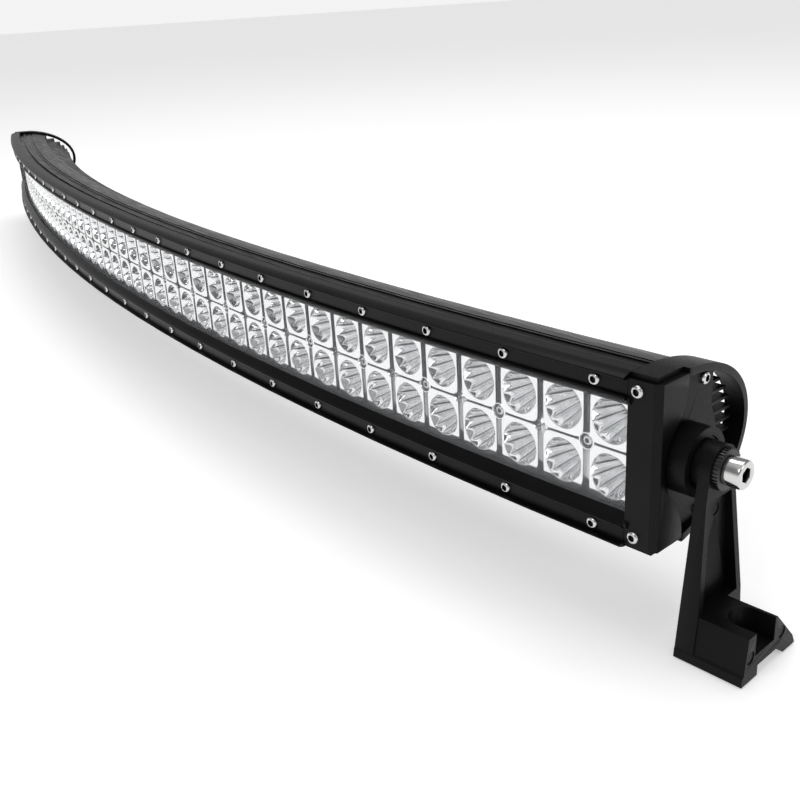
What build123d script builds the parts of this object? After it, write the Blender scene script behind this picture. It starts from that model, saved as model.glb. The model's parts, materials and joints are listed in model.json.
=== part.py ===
from build123d import *
import os
from math import cos, degrees, pi, sin, sqrt

# Curved double-row LED light bar with two tilting feet.  Millimetres.
# Working frame: +X to the right end, +Y rearward, +Z up.  The bar is an arc seen from
# above, lens on the outside, so its ends sweep rearward.  y = 0 is the face of the
# bezel screw heads at mid length, z = 0 is mid height.  build() moves the whole
# assembly so that its origin is the middle of its footprint, on the floor.

# ---- bar as a whole -------------------------------------------------------------
ARC_RADIUS = 3100.0          # arc of the screw head face, centre behind the bar
SCREW_PITCH = 52.0           # bezel screws, along the arc
SCREW_COUNT = 25
END_OVERHANG = 20.0          # housing beyond the last bezel screw
HALF_ARC = SCREW_PITCH * (SCREW_COUNT - 1) / 2 + END_OVERHANG
CAP_LAP = 3.2                # end cap sleeve over the housing
MODULE_COUNT = 24            # reflector modules, four LEDs each
MODULE_PITCH = 2 * (HALF_ARC - CAP_LAP) / MODULE_COUNT
GAP = 0.2                    # assembly gap between fixed neighbours
PAST = 60.0                  # cutting shapes reach this far past the bar

# ---- section across the bar -----------------------------------------------------
BEZEL_TOP_Z = 40.8
CAP_WALL = 2.3               # end cap outline outside the housing
HOUSING_TOP_Z = BEZEL_TOP_Z - CAP_WALL
BEZEL_FACE_Y = 1.8           # sunk flat face that the screw heads stand on
BEZEL_SEAT_Y = 5.0           # rear of the bezel, on lens and housing
BEZEL_LAP_Y = 10.5           # bezel laps back over the housing to here
SCREW_Z = HOUSING_TOP_Z - 4.2
SCREW_SLOT_REAR_Y = BEZEL_SEAT_Y + 7.2
LENS_THICK = 3.0
LENS_HALF_Z = HOUSING_TOP_Z - 9.2
SIGHT_HALF_Z = LENS_HALF_Z - 4.3          # half height of the lens opening
GASKET_THICK = 1.0
GASKET_END = 3.0
CHAMBER_HALF_Z = LENS_HALF_Z - 1.8
BOARD_THICK = 1.6
BACK_WALL_Y = 28.6
BACK_WALL_THICK = 5.0
BACK_FACE_Y = BACK_WALL_Y + BACK_WALL_THICK
ELLIPSE_Y = 14.0             # centre of the half ellipse that the rear follows
ELLIPSE_DEPTH = 67.2         # to the outside of the end caps
SLEEVE_GAP = 0.15
FIN_PITCH = 5.4
FIN_END_PROUD = 3.0
FIN_THICK = 1.4
FIN_TIP_INSET = 5.0          # fin tips inside the housing's half ellipse
FIN_PAIRS = 5                # fins above and below the middle one
GROOVES = ((11.0, 15.8, 1.8), (17.4, 23.6, 1.0), (25.2, 26.8, 1.6))   # from, to, depth
SKIN_REAR_Y = BACK_FACE_Y + 10.4   # top and bottom plates reach behind the back wall to here
SKIN_Z = HOUSING_TOP_Z - 5.1                # inner face of those plates

# ---- screws ---------------------------------------------------------------------
SCREW_R = 1.5                # M3
SCREW_FIT = 0.02
HEAD_R = 2.9
HEAD_H = BEZEL_FACE_Y        # so the head faces lie at y = 0
BEZEL_SCREW_REACH = 9.0
SOCKET_FLATS = 2.0
SOCKET_DEPTH = 1.0

# ---- reflectors and LEDs --------------------------------------------------------
REFLECTOR_Y = 9.0
REFLECTOR_GAP = 0.4
CUP_MOUTH_R = 10.4
CUP_ROOT_R = 4.2
CUP_WALL = 1.0
PLATE_THICK = 1.4
POST_R = 4.6
CENTRE_SCREW_R = 1.5
CENTRE_HEAD_R = 2.8
CENTRE_HEAD_Y = 11.5
CENTRE_HEAD_H = 2.0
CENTRE_THREAD = 2.4          # into the back wall
CHIP_SIDE = 3.5
CHIP_THICK = 0.9
DOME_R = 1.3
BOARD_COUNT = 6

# ---- end caps -------------------------------------------------------------------
SEAL_THICK = 1.5
SEAL_FRONT_Y = 5.2
SEAL_HALF_Z = SCREW_Z - 3.0
CAP_FACE_X = 9.5             # outer face of the recessed side, from the housing end
WING_X = 12.6                # outer face of the bezel end piece
WING_REAR_Y = 22.0
RIM_REAR_X = 7.5             # the rim tapers inward to this at the rear
RIM_WALL = 3.6
BAND_FRONT_Y = 3.8
SIDE_SCREW_Y = BACK_FACE_Y + 4.4
SIDE_WALL_REAR_Y = SIDE_SCREW_Y + 7.5
WINDOW_ARC_R = 27.0
CORNER_SCREW_X = SCREW_R + 0.1
CORNER_SCREW_Z = SCREW_Z - 0.6
CORNER_SCREW_REACH = 11.0
SIDE_HEAD_CLEAR = 0.547      # side screw head to the inside of the rim
RIM_INSIDE_Z = (BEZEL_TOP_Z - RIM_WALL) * sqrt(1 - ((SIDE_SCREW_Y - ELLIPSE_Y) / (ELLIPSE_DEPTH - RIM_WALL)) ** 2)
SIDE_SCREW_Z = RIM_INSIDE_Z - HEAD_R - SIDE_HEAD_CLEAR
SIDE_SCREW_REACH = 20.0
SIDE_PORT_R = 4.2
FRONT_CHAMFER = 3.4

# ---- tilt pivot and bracket -----------------------------------------------------
AXIS_Y = 23.5
HUB_R = 10.6
HUB_SEAT_R = HUB_R + 1.4
BOSS_R = HUB_SEAT_R + 3.5
BOSS_FACE_X = 21.0
HUB_SEAT_DEPTH = 1.0
CLEAR_R = BOSS_R + 1.0               # clearing round the boss in the bezel end piece
WAIST_Y = 6.6                # narrowest part of the wing
BOLT_R = 4.0                 # M8
BOLT_REACH = 28.0
BOLT_HEAD_R = 6.5
BOLT_HEAD_H = 8.0
HEX_FLATS = 6.0
HEX_DEPTH = 4.2
PIVOT_FIT = 0.05
HUB_FACE_X = 29.5
WASHER_THICK = 2.5
WASHER_R = HUB_R - 1.2
WASHER_TOOTH = 0.5
WASHER_TEETH = 36
ARM_X = 24.0                 # inner face of the arm
ARM_FOOT_X = 33.0
ARM_REAR_Y = 41.0            # rear of the arm at the floor
ARM_TOP_HALF = HUB_R - 0.6          # half width of the arm at the axis
FOOT_DROP = 84.0             # axis to floor
FOOT_FRONT_Y = 1.8
FOOT_REAR_Y = 46.0
FOOT_X = 56.3                # outer end of the foot
RAIL_TOP = 22.0              # above the floor
WEB_TOP = 11.0
WEB_UNDER = 5.0
SLOT_Y = 19.0                # middle of the bolt slot
SLOT_HALF = 7.8
FLANGE = 3.4
MARK_R = 3.0                 # round ejector marks
MARK_DEPTH = 0.4
MARK_YS = (7.5, 33.0)
PANEL_SINK = 1.0             # front panel of the foot behind the arm's face
ARM_WEB = 3.0
FOOT_HOLE_X = 47.5
FOOT_HOLE_R = 4.5            # clearance hole for M8

# ---- cable gland and breather ---------------------------------------------------
GLAND_R = 6.0
GLAND_HEX = 18.0
GLAND_BORE_R = 3.2
VENT_OFFSET = 52.0
POCKET_HALF = 13.0

ARC_AXIS = Axis((0, ARC_RADIUS, 0), (0, 0, 1))
HEAD_FACE_X = HUB_FACE_X + WASHER_THICK
FLOOR_Z = -FOOT_DROP


def station(arc):
    """Frame at an arc length from mid bar: X along the bar, Y rearward."""
    turn = arc / ARC_RADIUS
    return Location((ARC_RADIUS * sin(turn), ARC_RADIUS * (1 - cos(turn)), 0), (0, 0, degrees(turn)))


END = station(HALF_ARC)


def sweep_arc(section, start, end):
    """Carry a section drawn on the YZ plane along the bar between two arc lengths."""
    placed = section.rotate(ARC_AXIS, degrees(start / ARC_RADIUS))
    return revolve(placed, axis=ARC_AXIS, revolution_arc=degrees((end - start) / ARC_RADIUS))


def rect_yz(y0, y1, z0, z1):
    return Plane.YZ * Pos((y0 + y1) / 2, (z0 + z1) / 2) * Rectangle(y1 - y0, z1 - z0)


def block(x0, x1, y0, y1, z0, z1):
    return Pos((x0 + x1) / 2, (y0 + y1) / 2, (z0 + z1) / 2) * Box(x1 - x0, y1 - y0, z1 - z0)


def rod_x(radius, x0, x1, y=0.0, z=0.0):
    return Pos((x0 + x1) / 2, y, z) * Rot(0, 90, 0) * Cylinder(radius, x1 - x0)


def rod_y(radius, y0, y1, x=0.0, z=0.0):
    return Pos(x, (y0 + y1) / 2, z) * Rot(90, 0, 0) * Cylinder(radius, y1 - y0)


def rod_z(radius, z0, z1, x=0.0, y=0.0):
    return Pos(x, y, (z0 + z1) / 2) * Cylinder(radius, z1 - z0)


def prism_x(points, x0, x1):
    """Polygon given as (y, z) points, carried along X."""
    face = Plane.YZ.offset(x0) * make_face(Polyline(*points, close=True))
    return extrude(face, amount=x1 - x0, dir=(1, 0, 0))


def prism_z(points, z0, z1):
    """Polygon given as (x, y) points, carried along Z."""
    face = Plane.XY.offset(z0) * make_face(Polyline(*points, close=True))
    return extrude(face, amount=z1 - z0, dir=(0, 0, 1))


def left(shape):
    return mirror(shape, about=Plane.YZ)


def upside_down(shape):
    return mirror(shape, about=Plane.XY)


def d_outline(inset, front_y):
    """Flat-sided front and half-elliptic rear of an end cap, in the YZ plane."""
    half = BEZEL_TOP_Z - inset
    ellipse = Plane.YZ * Pos(ELLIPSE_Y, 0) * Ellipse(ELLIPSE_DEPTH - inset, half)
    rear = ellipse & rect_yz(ELLIPSE_Y, ELLIPSE_Y + ELLIPSE_DEPTH + 1, -half - 1, half + 1)
    return rear + rect_yz(front_y, ELLIPSE_Y, -half, half)


# ---- bezel strips, lens, housing ------------------------------------------------
def strip_section():
    """Top strip: inner lip, sunk screw face, outer roll, and the lap over the housing."""
    face = BEZEL_FACE_Y
    outline = [
        Line((BEZEL_SEAT_Y, SIGHT_HALF_Z), (3.4, SIGHT_HALF_Z + 1.2)),
        ThreePointArc((3.4, SIGHT_HALF_Z + 1.2), (1.4, SIGHT_HALF_Z + 2.7), (-0.2, SIGHT_HALF_Z + 4.6)),
        ThreePointArc((-0.2, SIGHT_HALF_Z + 4.6), (0.1, SIGHT_HALF_Z + 5.5), (1.0, SIGHT_HALF_Z + 5.8)),
        Line((1.0, SIGHT_HALF_Z + 5.8), (face, SIGHT_HALF_Z + 6.0)),
        Line((face, SIGHT_HALF_Z + 6.0), (face, HOUSING_TOP_Z - 0.7)),
        Line((face, HOUSING_TOP_Z - 0.7), (-0.8, HOUSING_TOP_Z - 0.3)),
        ThreePointArc((-0.8, HOUSING_TOP_Z - 0.3), (-1.4, HOUSING_TOP_Z + 0.2), (-0.9, HOUSING_TOP_Z + 0.8)),
        ThreePointArc((-0.9, HOUSING_TOP_Z + 0.8), (1.6, BEZEL_TOP_Z - 0.5), (5.0, BEZEL_TOP_Z)),
        Line((5.0, BEZEL_TOP_Z), (BEZEL_LAP_Y, BEZEL_TOP_Z)),
        Line((BEZEL_LAP_Y, BEZEL_TOP_Z), (BEZEL_LAP_Y, HOUSING_TOP_Z)),
        Line((BEZEL_LAP_Y, HOUSING_TOP_Z), (BEZEL_SEAT_Y, HOUSING_TOP_Z)),
        Line((BEZEL_SEAT_Y, HOUSING_TOP_Z), (BEZEL_SEAT_Y, SIGHT_HALF_Z)),
    ]
    return Plane.YZ * make_face(outline)


def screw_stations():
    return [station((i - (SCREW_COUNT - 1) / 2) * SCREW_PITCH) for i in range(SCREW_COUNT)]


def bezel_strip():
    reach = HALF_ARC - CAP_LAP - GAP
    strip = sweep_arc(strip_section(), -reach, reach)
    hole = rod_y(SCREW_R + SCREW_FIT, -2, BEZEL_SEAT_Y + 1, z=SCREW_Z)
    return strip - [place * hole for place in screw_stations()]


def lens():
    reach = HALF_ARC - GAP
    return sweep_arc(rect_yz(BEZEL_SEAT_Y, BEZEL_SEAT_Y + LENS_THICK, -LENS_HALF_Z, LENS_HALF_Z), -reach, reach)


def lens_gasket():
    front = BEZEL_SEAT_Y + LENS_THICK
    rear = front + GASKET_THICK
    reach = HALF_ARC - GAP
    cord = sweep_arc(rect_yz(front, rear, CHAMBER_HALF_Z, LENS_HALF_Z), -reach, reach)
    gasket = cord + upside_down(cord)
    bar = sweep_arc(rect_yz(front, rear, -CHAMBER_HALF_Z, CHAMBER_HALF_Z), reach - GASKET_END, reach)
    return gasket + bar + left(bar)


def fin_reach(z):
    """How far back a fin goes at a height, from the half ellipse."""
    depth = ELLIPSE_DEPTH - CAP_WALL - FIN_TIP_INSET
    return ELLIPSE_Y + depth * sqrt(1 - (z / HOUSING_TOP_Z) ** 2)


def housing_section():
    """Extruded heat sink: chamber, back wall and horizontal fins."""
    chamber_front = BEZEL_SEAT_Y + LENS_THICK + GASKET_THICK
    front = rect_yz(0, BACK_FACE_Y, -BEZEL_TOP_Z, BEZEL_TOP_Z)
    outline = d_outline(CAP_WALL, BEZEL_SEAT_Y)
    section = outline & front
    for side in (1, -1):
        low, high = sorted((side * SKIN_Z, side * BEZEL_TOP_Z))
        section += outline & rect_yz(BACK_FACE_Y - 1, SKIN_REAR_Y, low, high)
    section -= rect_yz(BEZEL_SEAT_Y - 1, BACK_WALL_Y, -CHAMBER_HALF_Z, CHAMBER_HALF_Z)
    section -= rect_yz(BEZEL_SEAT_Y - 1, chamber_front, -LENS_HALF_Z - GAP, LENS_HALF_Z + GAP)
    slot = SCREW_R + SCREW_FIT
    for side in (1, -1):
        section -= rect_yz(BEZEL_SEAT_Y - 1, SCREW_SLOT_REAR_Y, side * SCREW_Z - slot, side * SCREW_Z + slot)
        for start, end, depth in GROOVES:
            inner = HOUSING_TOP_Z - depth
            low, high = sorted((side * inner, side * (HOUSING_TOP_Z + 2)))
            section -= rect_yz(start, end, low, high)
    for i in range(-FIN_PAIRS, FIN_PAIRS + 1):
        z = i * FIN_PITCH
        tip = fin_reach(abs(z) + FIN_THICK / 2)
        section += rect_yz(BACK_FACE_Y - 1, tip, z - FIN_THICK / 2, z + FIN_THICK / 2)
    return section


def module_stations():
    return [station((i - (MODULE_COUNT - 1) / 2) * MODULE_PITCH) for i in range(MODULE_COUNT)]


def fin_ends():
    """Fins left standing past the milled end face, outside the side wall of the end cap."""
    wall = rect_yz(0, SIDE_WALL_REAR_Y + GAP, -PAST, PAST) + Plane.YZ * Pos(AXIS_Y, 0) * Circle(WINDOW_ARC_R + GAP)
    tips = housing_section() & rect_yz(BACK_FACE_Y, 2 * PAST, -SKIN_Z + 1, SKIN_Z - 1)
    return extrude(Pos(-1, 0, 0) * (tips - wall), amount=1 + FIN_END_PROUD, dir=(1, 0, 0))


def housing():
    body = sweep_arc(housing_section(), -HALF_ARC, HALF_ARC)
    ends = END * fin_ends()
    body += [ends, left(ends)]
    port = rod_x(SIDE_PORT_R, -20, 0, SIDE_SCREW_Y, SIDE_SCREW_Z)
    hole = rod_x(SCREW_R + SCREW_FIT, -16, 1, SIDE_SCREW_Y, SIDE_SCREW_Z)
    ports = [END * port, END * upside_down(port)]
    holes = [END * hole, END * upside_down(hole)]
    body += ports + [left(p) for p in ports]
    body -= holes + [left(h) for h in holes]
    bore = rod_y(CENTRE_SCREW_R + SCREW_FIT, BACK_WALL_Y - 1, BACK_WALL_Y + CENTRE_THREAD + 1)
    body -= [place * bore for place in module_stations()]
    for offset in (0.0, VENT_OFFSET):
        place = station(offset)
        body -= place * block(-POCKET_HALF, POCKET_HALF, BACK_FACE_Y, 2 * PAST, -POCKET_HALF, POCKET_HALF)
        body -= place * rod_y(GLAND_R + SCREW_FIT, BACK_WALL_Y - 1, BACK_FACE_Y + 1)
    return body


# ---- light engine ---------------------------------------------------------------
def cup_centres():
    quarter = MODULE_PITCH / 4
    return [(x, z) for x in (-quarter, quarter) for z in (-quarter, quarter)]


def cone_y(front_r, rear_r, y0, y1, x, z):
    """Cone along Y, front radius at y0, rear radius at y1."""
    return Pos(x, (y0 + y1) / 2, z) * Rot(90, 0, 0) * Cone(rear_r, front_r, y1 - y0)


def reflector():
    """Four plated cups on one plate, with a post for the centre screw."""
    rear_y = BACK_WALL_Y - BOARD_THICK
    wide = MODULE_PITCH * (1 - rear_y / ARC_RADIUS) - REFLECTOR_GAP
    tall = 2 * CHAMBER_HALF_Z - 2 * REFLECTOR_GAP
    body = block(-wide / 2, wide / 2, REFLECTOR_Y, REFLECTOR_Y + PLATE_THICK, -tall / 2, tall / 2)
    body += rod_y(POST_R, REFLECTOR_Y, rear_y)
    for x, z in cup_centres():
        body += cone_y(CUP_MOUTH_R + CUP_WALL, CUP_ROOT_R + CUP_WALL, REFLECTOR_Y, rear_y, x, z) & block(
            -wide / 2, wide / 2, REFLECTOR_Y, rear_y, -tall / 2, tall / 2)
    for x, z in cup_centres():
        body -= cone_y(CUP_MOUTH_R, CUP_ROOT_R, REFLECTOR_Y, rear_y, x, z)
    body -= rod_y(CENTRE_HEAD_R + GAP, REFLECTOR_Y - 1, CENTRE_HEAD_Y + CENTRE_HEAD_H)
    return body - rod_y(CENTRE_SCREW_R + SCREW_FIT, REFLECTOR_Y, rear_y + 1)


def led_board(index):
    """Circuit board on the back wall, behind its share of the modules."""
    share = MODULE_COUNT // BOARD_COUNT
    first = -MODULE_COUNT / 2 * MODULE_PITCH + index * share * MODULE_PITCH
    half = CHAMBER_HALF_Z - GAP
    face = rect_yz(BACK_WALL_Y - BOARD_THICK, BACK_WALL_Y, -half, half)
    board = sweep_arc(face, first + GAP, first + share * MODULE_PITCH - GAP)
    bore = rod_y(CENTRE_SCREW_R + SCREW_FIT, BACK_WALL_Y - 4, BACK_WALL_Y + 2)
    return board - [place * bore for place in module_stations()[index * share:(index + 1) * share]]


def led_chip():
    rear = BACK_WALL_Y - BOARD_THICK - 0.02
    front = rear - CHIP_THICK
    base = block(-CHIP_SIDE / 2, CHIP_SIDE / 2, front, rear, -CHIP_SIDE / 2, CHIP_SIDE / 2)
    return base + rod_y(DOME_R, front - DOME_R, front)


def led_chips():
    return [place * Pos(x, 0, z) * led_chip() for place in module_stations() for x, z in cup_centres()]


def reflector_screws():
    head = rod_y(CENTRE_HEAD_R, CENTRE_HEAD_Y, CENTRE_HEAD_Y + CENTRE_HEAD_H)
    head -= rod_y(1.1, CENTRE_HEAD_Y - 1, CENTRE_HEAD_Y + 1.2)
    start = CENTRE_HEAD_Y + CENTRE_HEAD_H
    screw = head + rod_y(CENTRE_SCREW_R, start, BACK_WALL_Y + CENTRE_THREAD)
    return [place * screw for place in module_stations()]


# ---- screws ---------------------------------------------------------------------
def button_screw(seat_y, reach):
    """Socket button screw along Y, head standing on seat_y."""
    head = rod_y(HEAD_R, seat_y - HEAD_H, seat_y)
    head = chamfer(head.edges().group_by(Axis.Y)[0], 0.6)
    head -= hex_y(SOCKET_FLATS, seat_y - HEAD_H - 1, seat_y - HEAD_H + SOCKET_DEPTH)
    return head + rod_y(SCREW_R, seat_y, seat_y + reach)


def bezel_screws():
    screw = Pos(0, 0, SCREW_Z) * button_screw(BEZEL_FACE_Y, BEZEL_SCREW_REACH)
    return [place * screw for place in screw_stations()]


def corner_screws():
    screw = Pos(CORNER_SCREW_X, 0, CORNER_SCREW_Z) * button_screw(BEZEL_FACE_Y, CORNER_SCREW_REACH)
    pair = [END * screw, END * upside_down(screw)]
    return pair + [left(s) for s in pair]


def side_screws():
    along_y = button_screw(0, SIDE_SCREW_REACH)
    screw = Pos(CAP_FACE_X, SIDE_SCREW_Y, SIDE_SCREW_Z) * Rot(0, 0, 90) * along_y
    pair = [END * screw, END * upside_down(screw)]
    return pair + [left(s) for s in pair]


# ---- end of the bar (right hand; the left one is its mirror) ---------------------
def end_seal():
    seal = block(0, SEAL_THICK, SEAL_FRONT_Y, BACK_FACE_Y - GAP, -SEAL_HALF_Z, SEAL_HALF_Z)
    return END * seal


def bezel_end():
    """Front face and side wing that close the bezel at the end of the bar."""
    top = HOUSING_TOP_Z
    inner = -CAP_LAP
    plan = [(inner, BEZEL_FACE_Y), (WING_X - FRONT_CHAMFER, BEZEL_FACE_Y),
            (WING_X, BEZEL_FACE_Y + FRONT_CHAMFER * 0.6), (WING_X, BEZEL_SEAT_Y), (inner, BEZEL_SEAT_Y)]
    body = prism_z(plan, -top, top)
    bevel = [(inner - 2.2, BEZEL_SEAT_Y), (inner, BEZEL_FACE_Y), (inner, BEZEL_SEAT_Y)]
    body += prism_z(bevel, -SIGHT_HALF_Z + GAP, SIGHT_HALF_Z - GAP)
    front = BEZEL_FACE_Y + FRONT_CHAMFER * 0.6
    edge = Spline((WING_REAR_Y, top), (WING_REAR_Y - 0.6, 31.5), (17.5, 21.0), (10.0, 11.0), (WAIST_Y, 0),
                  (10.0, -11.0), (17.5, -21.0), (WING_REAR_Y - 0.6, -31.5), (WING_REAR_Y, -top))
    outline = [edge, Line((WING_REAR_Y, -top), (front, -top)), Line((front, -top), (front, top)),
               Line((front, top), (WING_REAR_Y, top))]
    wing_face = Plane.YZ.offset(CAP_FACE_X + 0.05) * make_face(outline)
    wing = extrude(wing_face, amount=WING_X - CAP_FACE_X - 0.05, dir=(1, 0, 0))
    body += wing - rod_x(CLEAR_R, CAP_FACE_X - 1, WING_X + 1, AXIS_Y)
    for side in (1, -1):
        body += rod_x(1.9, inner, inner + 1.8, 2.3, side * (SIGHT_HALF_Z + 3.9))
        body -= rod_y(SCREW_R + SCREW_FIT, 0, BEZEL_SEAT_Y + 1, CORNER_SCREW_X, side * CORNER_SCREW_Z)
    return END * body


def rim_plan():
    """Plan view of the end cap: full width behind the wing, tapering to the rear."""
    rear = ELLIPSE_Y + ELLIPSE_DEPTH + 1
    return [(-CAP_LAP, BAND_FRONT_Y), (CAP_FACE_X, BAND_FRONT_Y), (CAP_FACE_X, WING_REAR_Y + 0.1),
            (WING_X, WING_REAR_Y + 0.1), (WING_X, WING_REAR_Y + 2), (RIM_REAR_X, rear), (-CAP_LAP, rear)]


def end_cap():
    """Die-cast cap: sleeve over the housing, open D-shaped rim, side wall and pivot boss."""
    sleeve = CAP_WALL - SLEEVE_GAP
    outer = extrude(Plane.YZ.offset(-CAP_LAP) * Plane.YZ.to_local_coords(d_outline(0, BAND_FRONT_Y)),
                    amount=CAP_LAP + WING_X)
    body = outer - extrude(Pos(-CAP_LAP - 1, 0, 0) * d_outline(sleeve, BAND_FRONT_Y - 1),
                           amount=CAP_LAP + 1, dir=(1, 0, 0))
    body -= extrude(d_outline(RIM_WALL, BAND_FRONT_Y - 1), amount=WING_X + 1, dir=(1, 0, 0))
    wall = d_outline(sleeve, BEZEL_SEAT_Y) & (rect_yz(0, SIDE_WALL_REAR_Y, -PAST, PAST)
                                              + Plane.YZ * Pos(AXIS_Y, 0) * Circle(WINDOW_ARC_R))
    body += extrude(Pos(SEAL_THICK, 0, 0) * wall, amount=CAP_FACE_X - SEAL_THICK, dir=(1, 0, 0))
    for side in (1, -1):
        low, high = sorted((side * (SEAL_HALF_Z + 0.3), side * (HOUSING_TOP_Z + 0.2)))
        body += block(0.1, SEAL_THICK + 0.1, BEZEL_SEAT_Y, WING_REAR_Y, low, high)
    body &= prism_z(rim_plan(), -PAST, PAST)
    body -= block(-CAP_LAP - 1, WING_X + 1, 0, BEZEL_SEAT_Y, -HOUSING_TOP_Z, HOUSING_TOP_Z)
    body += rod_x(BOSS_R, SEAL_THICK, BOSS_FACE_X, AXIS_Y)
    body -= rod_x(HUB_SEAT_R, BOSS_FACE_X - HUB_SEAT_DEPTH, BOSS_FACE_X + 1, AXIS_Y)
    body -= rod_x(BOLT_R + SCREW_FIT, HEAD_FACE_X - BOLT_REACH - 1, BOSS_FACE_X + 1, AXIS_Y)
    for side in (1, -1):
        reach = BEZEL_FACE_Y + CORNER_SCREW_REACH + 1
        body -= rod_y(SCREW_R + SCREW_FIT, 0, reach, CORNER_SCREW_X, side * CORNER_SCREW_Z)
        body -= rod_x(SCREW_R + SCREW_FIT, 0, CAP_FACE_X + 1, SIDE_SCREW_Y, side * SIDE_SCREW_Z)
    return END * body


def pivot_bolt():
    head = rod_x(BOLT_HEAD_R, HEAD_FACE_X, HEAD_FACE_X + BOLT_HEAD_H, AXIS_Y)
    head = chamfer(head.edges().group_by(Axis.X)[-1], 0.8)
    hexagon = Plane.YZ.offset(HEAD_FACE_X + BOLT_HEAD_H - HEX_DEPTH) * Pos(AXIS_Y, 0) * RegularPolygon(
        HEX_FLATS / 2, 6, major_radius=False)
    head -= extrude(hexagon, amount=HEX_DEPTH + 1, dir=(1, 0, 0))
    return END * (head + rod_x(BOLT_R, HEAD_FACE_X - BOLT_REACH, HEAD_FACE_X, AXIS_Y))


def lock_washer():
    """Serrated washer under the bolt head."""
    washer = rod_x(WASHER_R, HUB_FACE_X, HEAD_FACE_X, AXIS_Y)
    washer -= rod_x(BOLT_R + 0.2, HUB_FACE_X - 1, HEAD_FACE_X + 1, AXIS_Y)
    notch = Pos(0, WASHER_R, 0) * Box(3 * WASHER_THICK, 2 * WASHER_TOOTH, pi * WASHER_R / WASHER_TEETH)
    turns = [Rot(360 * i / WASHER_TEETH, 0, 0) * notch for i in range(WASHER_TEETH)]
    washer -= [Pos((HUB_FACE_X + HEAD_FACE_X) / 2, AXIS_Y, 0) * t for t in turns]
    return END * washer


def arm_outline(inset, top_z, bottom_z):
    """Tapered arm in the YZ plane, narrow at the axis and as wide as the foot at the floor."""
    middle = AXIS_Y
    def half_front(z):
        return ARM_TOP_HALF + (middle - FOOT_FRONT_Y - ARM_TOP_HALF) * (-z / FOOT_DROP) - inset
    def half_rear(z):
        return ARM_TOP_HALF + (ARM_REAR_Y - middle - ARM_TOP_HALF) * (-z / FOOT_DROP) - inset
    return [(middle - half_front(top_z), top_z), (middle + half_rear(top_z), top_z),
            (middle + half_rear(bottom_z), bottom_z), (middle - half_front(bottom_z), bottom_z)]


def foot_profile():
    """Foot seen from its outer end: upright front rail, notched base, sloping rear rail."""
    z = FLOOR_Z
    slot0, slot1 = SLOT_Y - SLOT_HALF, SLOT_Y + SLOT_HALF
    return [(FOOT_FRONT_Y, z), (slot0 + 3, z), (slot0 + 3, z + WEB_UNDER), (slot1 + 4, z + WEB_UNDER),
            (slot1 + 9, z), (FOOT_REAR_Y, z), (FOOT_REAR_Y - 2.5, z + 5), (slot1 + 1.5, z + RAIL_TOP),
            (FOOT_FRONT_Y + PANEL_SINK + 2.6, z + RAIL_TOP), (FOOT_FRONT_Y + PANEL_SINK + 0.4, z + WEB_UNDER),
            (FOOT_FRONT_Y + 0.3, z + WEB_UNDER - 1)]


def bracket():
    """Cast foot: hub on the pivot, channelled arm, and a slotted foot for one M8 bolt."""
    arm = prism_x(arm_outline(0, 0, FLOOR_Z), ARM_X, FOOT_X)
    top = FLOOR_Z + RAIL_TOP
    outer = [(ARM_X, 20), (HUB_FACE_X, 20), (HUB_FACE_X, -12), (ARM_FOOT_X, top), (ARM_FOOT_X, FLOOR_Z),
             (ARM_X, FLOOR_Z)]
    side_face = Plane.XZ.offset(-PAST) * make_face(Polyline(*outer, close=True))
    arm &= extrude(side_face, amount=2 * PAST, dir=(0, -1, 0))
    channel = prism_x(arm_outline(FLANGE, -HUB_R - 2, top), ARM_X + ARM_WEB, FOOT_X)
    arm -= channel
    foot = prism_x(foot_profile(), ARM_X, FOOT_X)
    body = arm + foot + rod_x(HUB_R, BOSS_FACE_X - HUB_SEAT_DEPTH, HUB_FACE_X, AXIS_Y)
    floor = FLOOR_Z + WEB_TOP
    body -= rod_z(SLOT_HALF, floor, 0, FOOT_HOLE_X, SLOT_Y)
    body -= block(FOOT_HOLE_X, FOOT_X + 1, SLOT_Y - SLOT_HALF, SLOT_Y + SLOT_HALF, floor, 0)
    body -= prism_x(foot_profile()[1:5], ARM_X - 1, FOOT_X + 1)
    body -= rod_z(FOOT_HOLE_R, FLOOR_Z, floor + 1, FOOT_HOLE_X, SLOT_Y)
    body -= rod_x(BOLT_R + PIVOT_FIT, BOSS_FACE_X - 2, HUB_FACE_X + 1, AXIS_Y)
    for y in MARK_YS:
        body -= rod_x(MARK_R, FOOT_X - MARK_DEPTH, FOOT_X + 1, y, FLOOR_Z + 12)
    body -= rod_x(MARK_R, ARM_X + ARM_WEB - MARK_DEPTH, ARM_X + ARM_WEB + 1, AXIS_Y, -HUB_R - 9)
    return END * body


# ---- cable gland and breather ----------------------------------------------------
def hex_y(flats, y0, y1):
    face = Plane.XZ.offset(-y0) * RegularPolygon(flats / 2, 6, major_radius=False)
    return extrude(face, amount=y1 - y0, dir=(0, 1, 0))


def cable_gland():
    """Threaded body with a hexagon, on the back wall."""
    body = rod_y(GLAND_R, BACK_WALL_Y, BACK_FACE_Y) + hex_y(GLAND_HEX, BACK_FACE_Y, BACK_FACE_Y + 6)
    body += rod_y(GLAND_R, BACK_FACE_Y + 6, BACK_FACE_Y + 12)
    return body - rod_y(GLAND_BORE_R, BACK_WALL_Y - 1, BACK_FACE_Y + 13)


def gland_nut():
    """Domed clamping nut of the gland."""
    start = BACK_FACE_Y + 6 + GAP
    nut = hex_y(GLAND_HEX, start, start + 8) + rod_y(GLAND_HEX / 2 - 1.2, start + 8, start + 12)
    nut -= rod_y(GLAND_R + SCREW_FIT, start - 1, BACK_FACE_Y + 12)
    return nut - rod_y(GLAND_BORE_R, start, start + 13)


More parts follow.
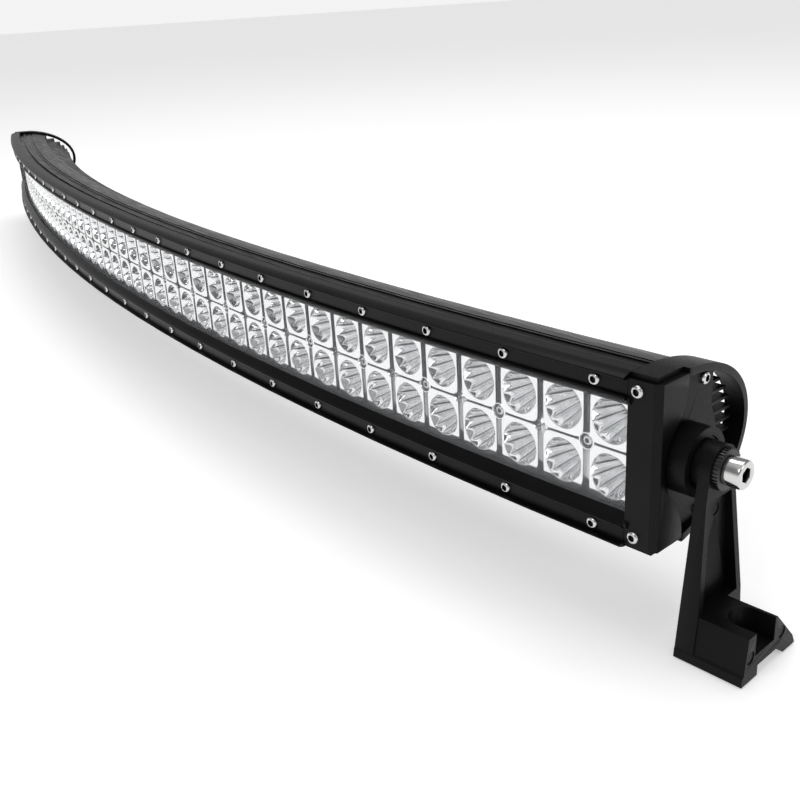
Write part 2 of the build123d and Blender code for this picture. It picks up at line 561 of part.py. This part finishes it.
def breather():
    plug = rod_y(GLAND_R, BACK_WALL_Y + 0.5, BACK_FACE_Y) + hex_y(GLAND_HEX - 2, BACK_FACE_Y, BACK_FACE_Y + 4)
    plug += rod_y(5.5, BACK_FACE_Y + 4, BACK_FACE_Y + 6)
    return station(VENT_OFFSET) * plug


# ---- the whole assembly ----------------------------------------------------------
def build():
    """Every node by name, each a shape or a list of separate solids."""
    strip = bezel_strip()
    top_screws = bezel_screws()
    parts = {
        "housing": housing(),
        "bezel_strip_top": strip,
        "bezel_strip_bottom": upside_down(strip),
        "lens": lens(),
        "lens_gasket": lens_gasket(),
        "led_chips": led_chips(),
        "reflector_screws": reflector_screws(),
        "bezel_screws_top": top_screws,
        "bezel_screws_bottom": [upside_down(s) for s in top_screws],
        "corner_screws": corner_screws(),
        "end_cap_screws": side_screws(),
        "cable_gland": cable_gland(),
        "gland_nut": gland_nut(),
        "breather_plug": breather(),
    }
    cups = reflector()
    for number, place in enumerate(module_stations(), start=1):
        parts[f"reflector_{number:02d}"] = place * cups
    for index in range(BOARD_COUNT):
        parts[f"led_board_{index + 1}"] = led_board(index)
    ends = {"end_seal": end_seal(), "bezel_end": bezel_end(), "end_cap": end_cap(),
            "pivot_bolt": pivot_bolt(), "lock_washer": lock_washer(), "bracket": bracket()}
    for name, shape in ends.items():
        parts[f"{name}_right"] = shape
        parts[f"{name}_left"] = left(shape)
    return parts


def as_compound(shape):
    solids = [s for item in (shape if isinstance(shape, list) else [shape]) for s in item.solids()]
    return solids[0] if len(solids) == 1 else Compound(children=solids)


def main():
    os.makedirs("parts", exist_ok=True)
    parts = {name: as_compound(shape) for name, shape in build().items()}
    boxes = [shape.bounding_box() for shape in parts.values()]
    middle_y = (min(b.min.Y for b in boxes) + max(b.max.Y for b in boxes)) / 2
    for name, shape in parts.items():
        export_step(Pos(0, -middle_y, FOOT_DROP) * shape, f"parts/{name}.step")
    pivot = (Pos(0, -middle_y, FOOT_DROP) * END * Location((BOSS_FACE_X, AXIS_Y, 0))).position
    hole = (Pos(0, -middle_y, FOOT_DROP) * END * Location((FOOT_HOLE_X, SLOT_Y, FLOOR_Z))).position
    print("pivot", pivot, "turn", degrees(HALF_ARC / ARC_RADIUS), "foot hole", hole, "shift", middle_y)


main()
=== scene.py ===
import json
from math import pi, radians

import bmesh
import bpy
import numpy as np
from bpy.props import FloatProperty, FloatVectorProperty, IntProperty, PointerProperty
from mathutils import Matrix, Vector

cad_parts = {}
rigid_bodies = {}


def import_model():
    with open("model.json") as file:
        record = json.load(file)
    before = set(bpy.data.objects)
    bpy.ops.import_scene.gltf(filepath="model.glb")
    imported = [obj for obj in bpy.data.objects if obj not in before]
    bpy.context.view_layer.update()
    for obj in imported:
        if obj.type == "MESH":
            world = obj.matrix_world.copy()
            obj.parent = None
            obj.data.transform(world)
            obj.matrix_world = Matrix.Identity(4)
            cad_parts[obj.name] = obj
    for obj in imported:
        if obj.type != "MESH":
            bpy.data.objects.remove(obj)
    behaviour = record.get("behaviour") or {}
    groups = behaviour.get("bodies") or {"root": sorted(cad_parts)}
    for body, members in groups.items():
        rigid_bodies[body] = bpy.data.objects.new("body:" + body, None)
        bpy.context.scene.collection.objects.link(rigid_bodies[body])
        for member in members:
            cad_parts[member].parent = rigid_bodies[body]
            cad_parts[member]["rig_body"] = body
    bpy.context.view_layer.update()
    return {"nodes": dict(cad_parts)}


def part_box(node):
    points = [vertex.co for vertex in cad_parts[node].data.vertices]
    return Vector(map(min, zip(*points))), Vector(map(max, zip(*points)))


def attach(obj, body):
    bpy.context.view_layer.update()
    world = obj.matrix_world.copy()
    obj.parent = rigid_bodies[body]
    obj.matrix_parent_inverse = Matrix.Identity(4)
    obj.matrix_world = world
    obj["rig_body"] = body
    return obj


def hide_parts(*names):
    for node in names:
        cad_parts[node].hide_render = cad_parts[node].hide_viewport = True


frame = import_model()

bl_info = {
    "name": "Curved light bar looks",
    "version": (1, 0, 0),
    "blender": (4, 5, 0),
    "location": "3D View > Sidebar > Light bar",
    "description": "Finishes and fine pieces for a curved double-row light bar",
    "category": "Object",
}

# The bar's own frame: X along it, Y rearward from the screw heads, Z up from mid height.
MM = 0.001
ARC_RADIUS = 3100.0
SCREW_PITCH = 52.0
SCREW_COUNT = 25
LENS_FACE_Y = 5.0
NODES = frame["nodes"]
LENS_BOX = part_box("lens")
SHIFT_Y = LENS_BOX[0].y / MM - LENS_FACE_Y
SHIFT_Z = (LENS_BOX[0].z + LENS_BOX[1].z) / 2 / MM
END_ARC = 644.0
MODULES = sorted(n for n in NODES if n.startswith("reflector_") and n[-2:].isdigit())
CAP_LAP = 3.2
MODULE_PITCH = 2 * (END_ARC - CAP_LAP) / len(MODULES)

# Seats of the screw heads, as (x, y, z) from mid bar or from the end of the housing.
BEZEL_SEAT = (0, 1.8, 34.3)
CORNER_SEAT = (1.6, 1.8, 33.7)
SIDE_SEAT = (9.5, 38.0, 31.0)
REFLECTOR_SEAT = (0, 11.6, 0)
BOLT_SEAT = (32.0, 23.5, 0)

# The studio, in metres; the camera is placed from mid bar.
FLOOR_HALF = 30.0
FLOOR_Z = -0.0008
FLOOR_GLOW = 0.42
CAMERA_PLACE = (0.920228, -0.199482, 0.186786)
CAMERA_RIGHT = (0.50961, 0.85846, -0.05773)
CAMERA_UP = (-0.29284, 0.23614, 0.92654)
CAMERA_LENS = 44.97
CAMERA_SENSOR = 36.0
LIGHTS = (("key", (1.2, -2.2, 2.4), (0.3, 0, 0.1), 1.4, 20, 1.4),
          ("top", (-0.2, 0.6, 2.6), (0.1, 0, 0.1), 2.4, 22, 1.0),
          ("side", (2.6, 0.9, 1.2), (0.6, 0, 0.08), 1.0, 9, 1.0))
SKY = ((0.3, 0.26), (0.65, 0.26))   # height and level between horizon and ceiling
HORIZON = (0.06, 0.9)
CEILING = (1.0, 0.8)


# ---- mesh helpers ---------------------------------------------------------------
def along_bar(points, arc, side=1):
    """Points in millimetres at a place along the bar, turned with the arc there.

    Row x = R sin a + x cos a - y sin a, row y = R (1 - cos a) + x sin a + y cos a, with a the
    arc length over the radius R; side -1 mirrors the result to the other end."""
    turn = arc / ARC_RADIUS
    x, y, z = points[..., 0], points[..., 1], points[..., 2]
    row = np.stack([ARC_RADIUS * np.sin(turn) + x * np.cos(turn) - y * np.sin(turn),
                    ARC_RADIUS * (1 - np.cos(turn)) + x * np.sin(turn) + y * np.cos(turn) + SHIFT_Y,
                    z + SHIFT_Z], -1)
    row[..., 0] *= side
    return row * MM


def grid_quads(rows, cols, wrap=True):
    """Quads of a grid of points, row by row; wrap joins the last column to the first."""
    r, c = np.meshgrid(np.arange(rows - 1), np.arange(cols if wrap else cols - 1), indexing="ij")
    right, row, below = (c + 1) % cols, r * cols, (r + 1) * cols
    return np.stack([row + c, row + right, below + right, below + c], -1).reshape(-1, 4)


def add_mesh(name, points, quads, painted_shade_values=None):
    """A mesh object from points in metres, with equal points merged and flat corners dropped."""
    keys, first, index = np.unique(np.round(points, 7), axis=0, return_index=True, return_inverse=True)
    corners = index.reshape(-1)[quads]
    keep = corners != np.roll(corners, 1, axis=1)
    keep &= (keep.sum(1) >= 3)[:, None]
    sizes = keep.sum(1)
    sizes = sizes[sizes > 0]
    mesh = bpy.data.meshes.new(name)
    mesh.vertices.add(len(keys))
    mesh.vertices.foreach_set("co", keys.astype(np.float32).ravel())
    loops = corners[keep]
    mesh.loops.add(len(loops))
    mesh.loops.foreach_set("vertex_index", loops.astype(np.int32))
    mesh.polygons.add(len(sizes))
    mesh.polygons.foreach_set("loop_start", np.concatenate([[0], np.cumsum(sizes)[:-1]]).astype(np.int32))
    mesh.update(calc_edges=True)
    mesh.validate()
    # The per-point values are painted shade, kept as the shade attribute.
    if painted_shade_values is not None:
        layer = mesh.attributes.new("shade", "FLOAT", "POINT")
        layer.data.foreach_set("value", painted_shade_values[first].astype(np.float32))
    made = bpy.data.objects.new(name, mesh)
    bpy.context.scene.collection.objects.link(made)
    return made


def shade_smooth(made, angle):
    made.data.shade_smooth()
    made.data.set_sharp_from_angle(angle=radians(angle))


def finish_piece(made, material, body, replaced=()):
    made.data.materials.clear()
    made.data.materials.append(material)
    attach(made, body)
    if replaced:
        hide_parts(*replaced)
    return made


def body_of(node):
    return NODES[node]["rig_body"]


# ---- materials ------------------------------------------------------------------
def new_material(name):
    material = bpy.data.materials.new(name)
    material.use_nodes = True
    nodes, links = material.node_tree.nodes, material.node_tree.links
    return material, nodes, links, nodes["Principled BSDF"]


def noise(nodes, links, scale, detail=3.0, stretch=(1, 1, 1)):
    """Noise on the object's own coordinates, stretched along an axis where asked."""
    place = nodes.new("ShaderNodeTexCoord")
    turn = nodes.new("ShaderNodeMapping")
    turn.inputs["Scale"].default_value = stretch
    texture = nodes.new("ShaderNodeTexNoise")
    texture.inputs["Scale"].default_value = scale
    texture.inputs["Detail"].default_value = detail
    links.new(place.outputs["Object"], turn.inputs["Vector"])
    links.new(turn.outputs["Vector"], texture.inputs["Vector"])
    return texture.outputs["Fac"]


def ramp(nodes, links, source, low, high, start=0.35, stop=0.65):
    made = nodes.new("ShaderNodeValToRGB")
    made.color_ramp.elements[0].position = start
    made.color_ramp.elements[1].position = stop
    made.color_ramp.elements[0].color = (*low, 1) if hasattr(low, "__len__") else (low, low, low, 1)
    made.color_ramp.elements[1].color = (*high, 1) if hasattr(high, "__len__") else (high, high, high, 1)
    links.new(source, made.inputs["Fac"])
    return made.outputs["Color"]


def bump(nodes, links, shader, source, strength, distance):
    made = nodes.new("ShaderNodeBump")
    made.inputs["Strength"].default_value = strength
    made.inputs["Distance"].default_value = distance
    links.new(source, made.inputs["Height"])
    links.new(made.outputs["Normal"], shader.inputs["Normal"])


def coated(name, colour, rough, grain, strength, specular=0.2, stretch=(1, 1, 1)):
    """Powder coat or paint on aluminium: mottled colour, uneven gloss and a fine grain."""
    material, nodes, links, shader = new_material(name)
    low = tuple(c * 0.75 for c in colour)
    high = tuple(c * 1.35 for c in colour)
    cloud = noise(nodes, links, 40, 4)
    links.new(ramp(nodes, links, cloud, low, high), shader.inputs["Base Color"])
    speck = noise(nodes, links, grain, 2, stretch)
    links.new(ramp(nodes, links, speck, rough - 0.06, rough + 0.08), shader.inputs["Roughness"])
    bump(nodes, links, shader, speck, strength, 0.0002)
    shader.inputs["Specular IOR Level"].default_value = specular
    return material


def metal(name, colour, rough, strength=0.05, stretch=(1, 1, 1)):
    """Bare metal with fine turning or polishing marks."""
    material, nodes, links, shader = new_material(name)
    mark = noise(nodes, links, 900, 2, stretch)
    links.new(ramp(nodes, links, mark, tuple(c * 0.85 for c in colour), colour), shader.inputs["Base Color"])
    links.new(ramp(nodes, links, mark, rough, rough + 0.1), shader.inputs["Roughness"])
    shader.inputs["Metallic"].default_value = 1.0
    bump(nodes, links, shader, mark, strength, 0.0001)
    return material


def plated(name, colour, painted_dark, rough):
    """Bright plating with painted shade: creases, channels, seats and sockets are darkened from the piece's
    shade attribute.
    """
    material, nodes, links, shader = new_material(name)
    read = nodes.new("ShaderNodeAttribute")
    read.attribute_name = "shade"
    links.new(ramp(nodes, links, read.outputs["Fac"], colour, painted_dark, 0.05, 0.95), shader.inputs["Base Color"])
    mottle = noise(nodes, links, 300, 2)
    links.new(ramp(nodes, links, mottle, rough, rough + 0.06), shader.inputs["Roughness"])
    shader.inputs["Metallic"].default_value = 1.0
    return material


def clear(name, tint, opacity):
    """Clear cover: a faint tint and a crisp gloss."""
    material, nodes, links, shader = new_material(name)
    shader.inputs["Base Color"].default_value = (*tint, 1)
    shader.inputs["Alpha"].default_value = opacity
    shader.inputs["IOR"].default_value = 1.49
    haze = noise(nodes, links, 30, 2)
    links.new(ramp(nodes, links, haze, 0.02, 0.06), shader.inputs["Roughness"])
    return material


def plain(name, colour, rough, grain=600):
    """Moulded plastic or rubber."""
    material, nodes, links, shader = new_material(name)
    speck = noise(nodes, links, grain, 2)
    low = tuple(c * 0.85 for c in colour)
    high = tuple(min(1, c * 1.1) for c in colour)
    links.new(ramp(nodes, links, speck, low, high), shader.inputs["Base Color"])
    shader.inputs["Roughness"].default_value = rough
    bump(nodes, links, shader, speck, 0.08, 0.0001)
    return material


def give(material, *names):
    """Puts a finish on CAD nodes as they are."""
    for name in names:
        NODES[name].data.materials.clear()
        NODES[name].data.materials.append(material)


def sizes():
    return bpy.context.scene.bar_sizes


def colours():
    return bpy.context.scene.bar_colours


# ---- settings -------------------------------------------------------------------
class BarSizes(bpy.types.PropertyGroup):
    cup_radius: FloatProperty(name="Cup mouth", description="Radius of a cup at its mouth, mm", default=10.4)
    petals: IntProperty(name="Petals", description="Facets round one cup", default=11, min=3)
    petal_depth: FloatProperty(name="Petal depth", description="Inward bulge of a petal, share of radius",
                               default=0.11)
    edge_round: FloatProperty(name="Edge rounding", description="Rounding of cast edges, mm", default=0.45)


class BarColours(bpy.types.PropertyGroup):
    black: FloatVectorProperty(name="Black", description="Coat on housing, bezel and castings",
                               subtype="COLOR", size=3, default=(0.003, 0.003, 0.0032))
    chrome: FloatVectorProperty(name="Plating", description="Reflector plating", subtype="COLOR", size=3,
                                default=(0.93, 0.935, 0.94))
    steel: FloatVectorProperty(name="Steel", description="Screws and bolts", subtype="COLOR", size=3,
                               default=(0.62, 0.62, 0.615))
    floor: FloatVectorProperty(name="Floor", description="Studio floor", subtype="COLOR", size=3,
                               default=(0.8, 0.8, 0.8))


# ---- reflector modules ------------------------------------------------------------
def rounded_square(angle, half_x, half_z, power):
    """Polar radius of a super-ellipse: (|cos|/hx)^p + (|sin|/hz)^p to the power -1/p."""
    across, up = np.abs(np.cos(angle)) / half_x, np.abs(np.sin(angle)) / half_z
    return (across ** power + up ** power) ** (-1 / power)


def square(angle, half):
    return half / np.maximum(np.abs(np.cos(angle)), np.abs(np.sin(angle)))


def cup_cell(mouth, petals, depth, half, painted_wall_shade):
    """One cup with the plate round it, as rings of points about the cup's axis, in mm.

    Wall: radius goes evenly from root to mouth, depth follows a parabola of the radius, and the
    radius is cut by depth times |sin(petals/2 angle)| so that petals meet in creases.
    Outside it: lip circle, rounded square plate, wall down, and the square floor of the channel."""
    count = 16 * petals
    angle = np.arange(count) * 2 * pi / count
    root, root_y, mouth_y, floor_y = 4.2, 27.0, 9.6, 12.4
    lobe = np.abs(np.sin(petals / 2 * angle)) ** 0.8
    # Painted reflection and shade: the dark band at each crease between petals is wider on the cup's
    # upper-left side.
    painted_crease_width = 0.16 + 0.4 * np.clip(np.cos(angle - radians(140)), 0, 1)
    radius, level, shade = [], [], []
    for t in np.linspace(0, 1, 11):
        r = root + (mouth - root) * t
        fade = min(1.0, 6 * t) * min(1.0, 10 * (1 - t))
        radius.append(r * (1 - depth * lobe * fade))
        share = (r * r - root ** 2) / (mouth ** 2 - root ** 2)
        level.append(np.full(count, root_y - (root_y - mouth_y) * share))
        # Painted shade: creases between petals are darkened, fading out towards the mouth.
        shade.append(np.clip(2 * (1 - lobe / painted_crease_width), 0, 1) * min(1.0, 8 * (1 - t)))
    outside = [(np.full(count, mouth + 0.15), 9.2, 0.0), (np.full(count, mouth + 0.5), 9.0, 0.0),
               (rounded_square(angle, half - 2.0, half - 0.55, 7), 9.0, 0.0),
               (rounded_square(angle, half - 1.75, half - 0.35, 7), 9.25, 0.0),
               # Painted shade: the channel walls take the given wall shade and the channel floor is slightly
               # darkened.
               (rounded_square(angle, half - 1.7, half - 0.3, 8), 9.6, painted_wall_shade),
               (rounded_square(angle, half - 1.6, half - 0.28, 8), floor_y - 0.2, painted_wall_shade),
               (rounded_square(angle, half - 1.5, half - 0.22, 12), floor_y, 0.15),
               (square(angle, half), floor_y, 0.1)]
    for ring, y, painted_dark in outside:
        radius.append(ring)
        level.append(np.full(count, y))
        shade.append(np.full(count, painted_dark))
    radius, level = np.array(radius), np.array(level)
    points = np.stack([radius * np.cos(angle), level, radius * np.sin(angle)], -1)
    return points, np.array(shade)


def seat_ring():
    """Round seat of the centre screw: a tube profile of radius and depth carried round its axis."""
    profile = np.array([(4.4, 12.4), (4.3, 9.3), (4.0, 8.95), (3.7, 9.0), (3.5, 9.4), (3.4, 11.6),
                        (0.0, 11.6)])
    # Painted shade: darker at the seat's outer foot and down in its recess.
    painted_dark = np.array([0.4, 0.0, 0.0, 0.0, 0.5, 0.9, 0.9])
    count = 32
    angle = np.arange(count) * 2 * pi / count
    points = np.stack([profile[:, :1] * np.cos(angle), np.repeat(profile[:, 1:], count, 1),
                       profile[:, :1] * np.sin(angle)], -1)
    return points, np.repeat(painted_dark[:, None], count, 1)


def hexagon_radius(angle, key):
    """A hexagon in polar form: half width over the cosine of the angle from the nearest flat."""
    return key / np.cos((angle + pi / 6) % (pi / 3) - pi / 6)


def turned_head(angle, rings, painted_dark):
    """Rings of (radius, height) about -Y, with a painted shade value for each ring."""
    points = [np.stack([r * np.cos(angle), np.full(len(angle), -float(y)), r * np.sin(angle)], -1)
              for r, y in rings]
    return np.array(points), np.repeat(np.array(painted_dark)[:, None], len(angle), 1)


class BAR_OT_reflectors(bpy.types.Operator):
    """Plated reflector modules, each four petalled cups on one plate with a screw seat"""
    bl_idname = "bar.reflectors"
    bl_label = "Reflector modules"

    def execute(self, context):
        s = sizes()
        chrome = plated("reflector_plating", tuple(colours().chrome), (0.035, 0.03, 0.04), 0.08)
        half = MODULE_PITCH / 4
        # Painted shade: channel walls are darker in the upper row (0.95) than in the lower row (0.35).
        rows = [cup_cell(s.cup_radius, s.petals, s.petal_depth, half - 0.1, painted_dark) for painted_dark in (0.35, 0.95)]
        rings, count = rows[0][0].shape[:2]
        quads = grid_quads(rings, count)[:, ::-1]
        seat, seat_painted_shade = seat_ring()
        seat_quads = grid_quads(*seat.shape[:2])
        points, faces, painted_shade_values, start = [], [], [], 0
        for x in (-half, half):
            for z, (cell, cell_painted_shade) in zip((-half, half), rows):
                points.append((cell + np.array([x, 0, z])).reshape(-1, 3))
                faces.append(quads + start)
                painted_shade_values.append(cell_painted_shade.ravel())
                start += rings * count
        points.append(seat.reshape(-1, 3))
        faces.append(seat_quads + start)
        painted_shade_values.append(seat_painted_shade.ravel())
        points, faces, painted_shade_values = np.concatenate(points), np.concatenate(faces), np.concatenate(painted_shade_values)
        for number, node in enumerate(MODULES):
            arc = (number - (len(MODULES) - 1) / 2) * MODULE_PITCH
            made = add_mesh(node + "_cups", along_bar(points, arc), faces, painted_shade_values)
            shade_smooth(made, 24)
            finish_piece(made, chrome, body_of(node), [node])
        return {"FINISHED"}


# ---- screws -----------------------------------------------------------------------
def socket_head(radius, height, key, depth, count=36):
    """Button head: a dome profile carried round the axis, with a six-sided socket."""
    angle = np.arange(count) * 2 * pi / count
    hexagon = hexagon_radius(angle, key)
    circle = np.ones(count)
    rings = [(0 * circle, 0), (radius * circle, 0), (radius * circle, 0.35 * height),
             (0.96 * radius * circle, 0.58 * height), (0.86 * radius * circle, 0.8 * height),
             (0.7 * radius * circle, 0.95 * height), (0.56 * radius * circle, height),
             (hexagon * 1.06, height), (hexagon, height - 0.12), (hexagon, height - depth),
             (0 * circle, height - depth)]
    # Painted shade: the rings of the six-sided socket are darkened.
    return turned_head(angle, rings, [0, 0, 0, 0, 0, 0, 0, 0, 0.6, 1, 1.0])


def cap_head(radius, height, key, depth, count=64):
    """Tall bolt head: a straight side with rounded rims, and the same kind of socket."""
    angle = np.arange(count) * 2 * pi / count
    hexagon = hexagon_radius(angle, key)
    circle = np.ones(count)
    rings = [(0 * circle, 0), (0.96 * radius * circle, 0), (radius * circle, 0.3),
             (radius * circle, 0.5 * height), (radius * circle, height - 1.0),
             (0.985 * radius * circle, height - 0.6), (0.94 * radius * circle, height - 0.25),
             (0.87 * radius * circle, height), (0.62 * radius * circle, height),
             (hexagon * 1.04, height - 0.25), (hexagon, height - 0.5), (hexagon, height - depth),
             (0 * circle, height - depth - 0.8)]
    # Painted shade: the rings of the six-sided socket are darkened.
    return turned_head(angle, rings, [0, 0, 0, 0, 0, 0, 0, 0, 0, 0.1, 0.7, 1, 1.0])


def put_heads(name, head, shade, places, material, node):
    """Copies of one head at (x, seat y, z, arc, side, along x) places, as one piece."""
    rings, count = head.shape[:2]
    quads = grid_quads(rings, count)
    points, faces, painted_shade_values = [], [], []
    for number, (x, y, z, arc, side, sideways) in enumerate(places):
        own = head.reshape(-1, 3)
        if sideways:
            own = np.stack([-own[:, 1], own[:, 0], own[:, 2]], -1)
        points.append(along_bar(own + np.array([x, y, z]), arc, side))
        faces.append((quads if side > 0 else quads[:, ::-1]) + number * rings * count)
        painted_shade_values.append(shade.ravel())
    made = add_mesh(name, np.concatenate(points), np.concatenate(faces), np.concatenate(painted_shade_values))
    shade_smooth(made, 32)
    return finish_piece(made, material, body_of(node), [node])


class BAR_OT_screws(bpy.types.Operator):
    """Button screws of the bezel, the corners, the end caps and the reflector modules"""
    bl_idname = "bar.screws"
    bl_label = "Screws"

    def execute(self, context):
        steel = plated("screw_steel", tuple(colours().steel), (0.02, 0.02, 0.02), 0.2)
        head, shade = socket_head(2.9, 1.8, 1.45, 1.3)
        arcs = [(i - (SCREW_COUNT - 1) / 2) * SCREW_PITCH for i in range(SCREW_COUNT)]
        x, y, z = BEZEL_SEAT
        for name, level in (("bezel_screws_top", z), ("bezel_screws_bottom", -z)):
            places = [(x, y, level, a, 1, False) for a in arcs]
            put_heads(name + "_heads", head, shade, places, steel, name)
        for name, node, seat, sideways in (("corner_screw_heads", "corner_screws", CORNER_SEAT, False),
                                           ("end_cap_screw_heads", "end_cap_screws", SIDE_SEAT, True)):
            x, y, z = seat
            places = [(x, y, level, END_ARC, side, sideways) for level in (z, -z) for side in (1, -1)]
            put_heads(name, head, shade, places, steel, node)
        small, small_painted_shade = socket_head(2.8, 2.0, 1.1, 1.1, 24)
        centres = [(i - (len(MODULES) - 1) / 2) * MODULE_PITCH for i in range(len(MODULES))]
        places = [(*REFLECTOR_SEAT, a, 1, False) for a in centres]
        put_heads("reflector_screw_heads", small, small_painted_shade, places, steel, "reflector_screws")
        polished = plated("bolt_steel", tuple(colours().steel), (0.03, 0.03, 0.03), 0.1)
        cap, cap_painted_shade = cap_head(6.5, 8.0, 3.0, 4.2)
        for end, side in (("right", 1), ("left", -1)):
            places = [(*BOLT_SEAT, END_ARC, side, True)]
            put_heads("pivot_bolt_head_" + end, cap, cap_painted_shade, places, polished,
                      "pivot_bolt_" + end)
        return {"FINISHED"}


# ---- castings ---------------------------------------------------------------------
def rounded_copy(node, material, radius, angle=32):
    """A copy of a CAD node with its triangles merged and its edges rounded."""
    source = NODES[node]
    made = source.copy()
    made.data = source.data.copy()
    for key in list(made.keys()):
        del made[key]
    made.parent = None
    made.matrix_world = Matrix.Identity(4)
    made.name = node + "_cast"
    bpy.context.scene.collection.objects.link(made)
    work = bmesh.new()
    work.from_mesh(made.data)
    bmesh.ops.remove_doubles(work, verts=work.verts, dist=0.000005)
    bmesh.ops.dissolve_limit(work, angle_limit=radians(1.0), verts=work.verts, edges=work.edges)
    work.to_mesh(made.data)
    work.free()
    shade_smooth(made, 30)
    edge = made.modifiers.new("edges", "BEVEL")
    edge.width = radius * MM
    edge.segments = 2
    edge.limit_method = "ANGLE"
    edge.angle_limit = radians(angle)
    edge.use_clamp_overlap = True
    edge.harden_normals = True
    return finish_piece(made, material, body_of(node), [node])


class BAR_OT_castings(bpy.types.Operator):
    """End caps, bezel ends and brackets with rounded edges; finish of the strips and washers"""
    bl_idname = "bar.castings"
    bl_label = "Castings"

    def execute(self, context):
        black = tuple(colours().black)
        cast = coated("cast_powder_coat", black, 0.4, 1400, 0.3, 0.12)
        front = coated("bezel_powder_coat", black, 0.34, 1800, 0.15, 0.13)
        washer = metal("washer_steel", (0.06, 0.06, 0.062), 0.35)
        edge = sizes().edge_round
        for side in ("right", "left"):
            rounded_copy("end_cap_" + side, cast, edge)
            rounded_copy("bracket_" + side, cast, edge * 1.4)
            rounded_copy("bezel_end_" + side, front, edge * 0.8)
            give(washer, "lock_washer_" + side)
        give(front, "bezel_strip_top", "bezel_strip_bottom")
        return {"FINISHED"}


class BAR_OT_body(bpy.types.Operator):
    """Finishes of the housing, the clear cover, the boards, the LEDs, the seals and the gland"""
    bl_idname = "bar.body"
    bl_label = "Housing and small parts"

    def execute(self, context):
        black = tuple(colours().black)
        give(coated("housing_anodised", black, 0.32, 900, 0.1, 0.14, (0.04, 1, 1)), "housing")
        give(clear("cover_clear", (0.93, 0.96, 1.0), 0.07), "lens")
        give(plain("board_mask", (0.74, 0.76, 0.76), 0.4), *[n for n in NODES if n.startswith("led_board_")])
        give(plain("led_phosphor", (0.62, 0.61, 0.55), 0.2), "led_chips")
        give(plain("seal_rubber", (0.014, 0.014, 0.014), 0.7),
             "lens_gasket", "end_seal_right", "end_seal_left")
        give(plain("gland_nylon", (0.02, 0.02, 0.02), 0.45), "cable_gland", "gland_nut", "breather_plug")
        return {"FINISHED"}


# ---- stage --------------------------------------------------------------------------
def area_light(name, place, target, size, power, size_y):
    data = bpy.data.lights.new(name, "AREA")
    data.energy = power
    data.shape = "RECTANGLE"
    data.size = size
    data.size_y = size_y
    lamp = bpy.data.objects.new(name, data)
    lamp.location = place
    lamp.rotation_mode = "QUATERNION"
    lamp.rotation_quaternion = (Vector(target) - Vector(place)).to_track_quat("-Z", "Y")
    bpy.context.scene.collection.objects.link(lamp)


def sky_by_height(tree):
    """Even grey surroundings with a bright horizon and a bright ceiling."""
    place = tree.nodes.new("ShaderNodeTexCoord")
    split = tree.nodes.new("ShaderNodeSeparateXYZ")
    shade = tree.nodes.new("ShaderNodeValToRGB")
    stops = shade.color_ramp.elements
    for stop, (height, level) in zip(stops, (HORIZON, CEILING)):
        stop.position, stop.color = height, (level, level, level, 1)
    for height, level in SKY:
        stops.new(height).color = (level, level, level, 1)
    tree.links.new(place.outputs["Generated"], split.inputs["Vector"])
    tree.links.new(split.outputs["Z"], shade.inputs["Fac"])
    tree.links.new(shade.outputs["Color"], tree.nodes["Background"].inputs["Color"])


class BAR_OT_stage(bpy.types.Operator):
    """Pale floor, studio lights, world and camera"""
    bl_idname = "bar.stage"
    bl_label = "Stage"

    def execute(self, context):
        scene = context.scene
        side = FLOOR_HALF
        plan = ((-side, -side), (side, -side), (side, side), (-side, side))
        corners = np.array([(x, y, FLOOR_Z) for x, y in plan])
        floor = add_mesh("studio_floor", corners, np.array([[0, 1, 2, 3]]))
        material, nodes, links, shader = new_material("studio_floor")
        shader.inputs["Base Color"].default_value = (*colours().floor, 1)
        shader.inputs["Emission Color"].default_value = (1, 1, 1, 1)
        shader.inputs["Emission Strength"].default_value = FLOOR_GLOW
        shader.inputs["Roughness"].default_value = 0.85
        shader.inputs["Specular IOR Level"].default_value = 0.1
        floor.data.materials.append(material)
        world = bpy.data.worlds.new("studio")
        world.use_nodes = True
        sky_by_height(world.node_tree)
        scene.world = world
        for light in LIGHTS:
            area_light(*light)
        scene.view_settings.view_transform = "Standard"
        scene.view_settings.look = "None"
        data = bpy.data.cameras.new("camera")
        data.lens = CAMERA_LENS
        data.sensor_width = CAMERA_SENSOR
        data.clip_start, data.clip_end = 0.01, 100.0
        camera = bpy.data.objects.new("camera", data)
        right, up = Vector(CAMERA_RIGHT), Vector(CAMERA_UP)
        back = right.cross(up)
        place = Vector(CAMERA_PLACE) + Vector((0, SHIFT_Y, SHIFT_Z)) * MM
        turn = Matrix((right, up, back)).transposed().to_4x4()
        camera.matrix_world = Matrix.Translation(place) @ turn
        scene.collection.objects.link(camera)
        scene.camera = camera
        return {"FINISHED"}


class BAR_PT_panel(bpy.types.Panel):
    bl_idname = "BAR_PT_panel"
    bl_label = "Light bar"
    bl_space_type = "VIEW_3D"
    bl_region_type = "UI"
    bl_category = "Light bar"

    def draw(self, context):
        for group in (context.scene.bar_sizes, context.scene.bar_colours):
            for name in group.__annotations__:
                self.layout.prop(group, name)
        for maker in MAKERS:
            self.layout.operator(maker.bl_idname)


MAKERS = (BAR_OT_reflectors, BAR_OT_screws, BAR_OT_castings, BAR_OT_body, BAR_OT_stage)
CLASSES = (BarSizes, BarColours, *MAKERS, BAR_PT_panel)


def register():
    for one in CLASSES:
        bpy.utils.register_class(one)
    bpy.types.Scene.bar_sizes = PointerProperty(type=BarSizes)
    bpy.types.Scene.bar_colours = PointerProperty(type=BarColours)


def unregister():
    del bpy.types.Scene.bar_colours
    del bpy.types.Scene.bar_sizes
    for one in reversed(CLASSES):
        bpy.utils.unregister_class(one)


def main():
    register()
    bpy.ops.bar.reflectors()
    bpy.ops.bar.screws()
    bpy.ops.bar.castings()
    bpy.ops.bar.body()
    bpy.ops.bar.stage()


if __name__ == "__main__":
    main()
